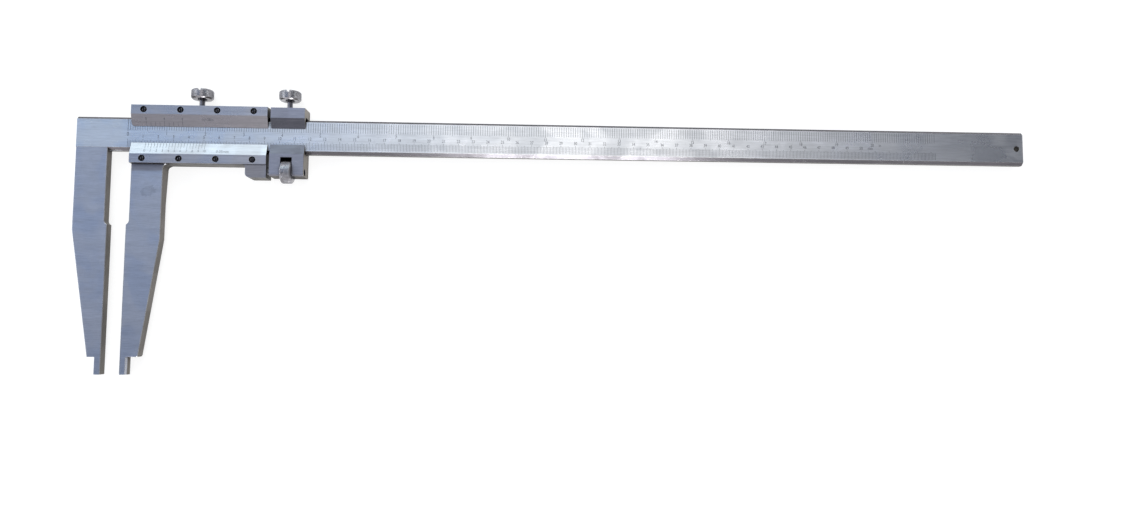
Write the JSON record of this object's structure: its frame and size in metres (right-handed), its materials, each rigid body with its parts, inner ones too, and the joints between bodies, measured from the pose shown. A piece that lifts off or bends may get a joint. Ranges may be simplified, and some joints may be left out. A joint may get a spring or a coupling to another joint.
{
  "type": "long jaw vernier caliper",
  "caption": "Long jaw vernier caliper with a graduated beam, a fixed and a sliding jaw with nibs, metric and inch vernier plates, lock screws and a fine adjustment nut.",
  "frame": {"origin": "centre of the caliper's footprint as it lies on its back, on the plane of the slider's back", "axes": "+X along the beam away from the fixed jaw, +Y from the jaws to the lock screws, +Z from the slider's back to the scales"},
  "size_m": [0.65, 0.1914, 0.0176],
  "materials": {
    "ground_steel": "satin ground steel, bluish grey",
    "jaw_steel": "satin ground steel, a little darker than the beam",
    "frame_steel": "plain ground steel",
    "inch_plate": "satin steel plate with engraved lines",
    "metric_plate": "satin steel plate with engraved lines",
    "clamp_steel": "satin ground steel",
    "screw_steel": "dark domed screw heads",
    "knurled_chrome": "bright plated, knurled",
    "turned_steel": "turned bar",
    "gib_steel": "plain strip"
  },
  "bodies": {
    "beam_body": {"beam": "ground_steel", "fixed_jaw": "jaw_steel", "jaw_rivet_1": "ground_steel", "jaw_rivet_2": "ground_steel", "jaw_rivet_3": "ground_steel", "jaw_rivet_4": "ground_steel"},
    "slider_body": {"slider_frame": "frame_steel", "inch_vernier_plate": "inch_plate", "metric_vernier_plate": "metric_plate", "slider_gib": "gib_steel", "inch_plate_screw_1": "screw_steel", "inch_plate_screw_2": "screw_steel", "inch_plate_screw_3": "screw_steel", "inch_plate_screw_4": "screw_steel", "metric_plate_screw_1": "screw_steel", "metric_plate_screw_2": "screw_steel", "metric_plate_screw_3": "screw_steel", "metric_plate_screw_4": "screw_steel", "gib_set_screw_1": "screw_steel", "gib_set_screw_2": "screw_steel", "fine_adjust_screw": "turned_steel", "fine_screw_pin": "turned_steel"},
    "slider_lock_body": {"slider_lock_screw": "knurled_chrome"},
    "clamp_body": {"clamp_block": "clamp_steel", "clamp_gib": "gib_steel"},
    "clamp_lock_body": {"clamp_lock_screw": "knurled_chrome"},
    "nut_body": {"fine_adjust_nut": "knurled_chrome"}
  },
  "joints": [
    {"name": "slider_slide", "type": "slide", "parent": "beam_body", "child": "slider_body", "axis": [1, 0, 0], "range_m": [-0.01219, 0.4878]},
    {"name": "slider_lock_turn", "type": "hinge", "parent": "slider_body", "child": "slider_lock_body", "pos_m": [-0.2448, 0.092, 0.0075], "axis": [0, 1, 0], "range_deg": [0, 360]},
    {"name": "fine_feed", "type": "slide", "parent": "slider_body", "child": "clamp_body", "axis": [1, 0, 0], "range_m": [-0.002, 0.003]},
    {"name": "clamp_lock_turn", "type": "hinge", "parent": "clamp_body", "child": "clamp_lock_body", "pos_m": [-0.1862, 0.092, 0.0075], "axis": [0, 1, 0], "range_deg": [0, 360]},
    {"name": "fine_nut_turn", "type": "hinge", "parent": "clamp_body", "child": "nut_body", "pos_m": [-0.18605, 0.0398, 0.01], "axis": [1, 0, 0], "range_deg": [-1029, 1543]}
  ],
  "couplings": [
    {"joint": "fine_nut_turn", "follows": "fine_feed", "rad_per_m": 8976}
  ]
}
